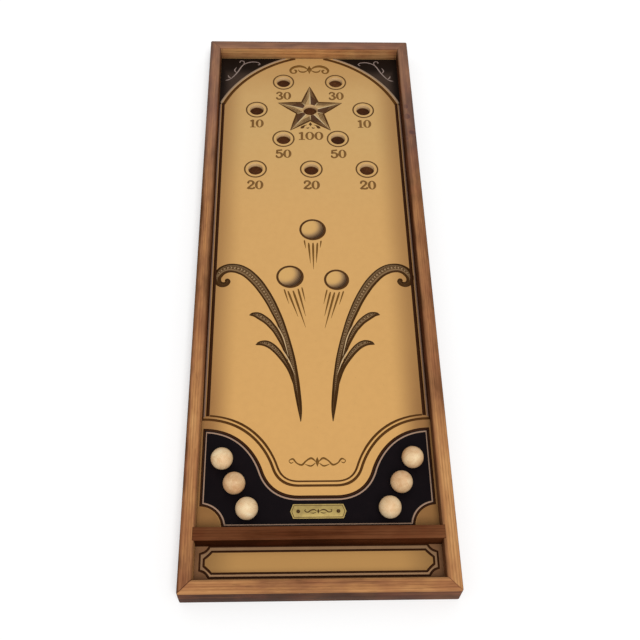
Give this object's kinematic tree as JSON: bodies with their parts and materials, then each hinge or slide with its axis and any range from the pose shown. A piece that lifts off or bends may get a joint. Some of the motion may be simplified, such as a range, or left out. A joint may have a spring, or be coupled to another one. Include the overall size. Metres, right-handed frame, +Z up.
{
  "type": "japanese billiards table",
  "caption": "Framed table-top ball game: long printed board with scoring holes, mitred wooden rails, a crossbar fencing off a ball tray, and loose turned balls in seats.",
  "frame": {"origin": "middle of the plane that the rails stand on", "axes": "+Z up, +Y along the board from the player's ball tray to the scoring holes, +X to the player's right"},
  "size_m": [0.406, 1.146, 0.0463],
  "materials": {
    "rail_wood": "chestnut stain under satin varnish",
    "bar_wood": "dark reddish-brown stain under satin varnish",
    "tongue_wood": "bare plywood",
    "printed_board": "ochre print on wood-based board under satin varnish",
    "hardboard": "bare brown hardboard",
    "ball_wood": "turned beech, sanded and waxed",
    "brass": "pale satin brass",
    "steel": "plain steel"
  },
  "bodies": {
    "table": {"front_rail": "rail_wood", "back_rail": "rail_wood", "left_rail": "rail_wood", "right_rail": "rail_wood", "mitre_tongue_front_left": "tongue_wood", "mitre_tongue_front_right": "tongue_wood", "mitre_tongue_back_left": "tongue_wood", "mitre_tongue_back_right": "tongue_wood", "playing_board": "printed_board", "back_panel": "hardboard", "panel_nail_left_1": "steel", "panel_nail_left_2": "steel", "panel_nail_left_3": "steel", "panel_nail_left_4": "steel", "panel_nail_left_5": "steel", "panel_nail_right_1": "steel", "panel_nail_right_2": "steel", "panel_nail_right_3": "steel", "panel_nail_right_4": "steel", "panel_nail_right_5": "steel", "panel_nail_front_1": "steel", "panel_nail_front_2": "steel", "panel_nail_back_1": "steel", "panel_nail_back_2": "steel", "crossbar": "bar_wood", "bar_screw_left": "steel", "bar_screw_middle": "steel", "bar_screw_right": "steel", "brass_plate": "brass", "plate_pin_left": "brass", "plate_pin_right": "brass"},
    "left_ball_1": {"ball_left_1": "ball_wood"},
    "left_ball_2": {"ball_left_2": "ball_wood"},
    "left_ball_3": {"ball_left_3": "ball_wood"},
    "right_ball_1": {"ball_right_1": "ball_wood"},
    "right_ball_2": {"ball_right_2": "ball_wood"},
    "right_ball_3": {"ball_right_3": "ball_wood"}
  },
  "joints": [
    {"name": "lift_left_ball_1", "type": "slide", "parent": "table", "child": "left_ball_1", "axis": [0, 0, 1], "range_m": [0, 0.1]},
    {"name": "lift_left_ball_2", "type": "slide", "parent": "table", "child": "left_ball_2", "axis": [0, 0, 1], "range_m": [0, 0.1]},
    {"name": "lift_left_ball_3", "type": "slide", "parent": "table", "child": "left_ball_3", "axis": [0, 0, 1], "range_m": [0, 0.1]},
    {"name": "lift_right_ball_1", "type": "slide", "parent": "table", "child": "right_ball_1", "axis": [0, 0, 1], "range_m": [0, 0.1]},
    {"name": "lift_right_ball_2", "type": "slide", "parent": "table", "child": "right_ball_2", "axis": [0, 0, 1], "range_m": [0, 0.1]},
    {"name": "lift_right_ball_3", "type": "slide", "parent": "table", "child": "right_ball_3", "axis": [0, 0, 1], "range_m": [0, 0.1]}
  ]
}
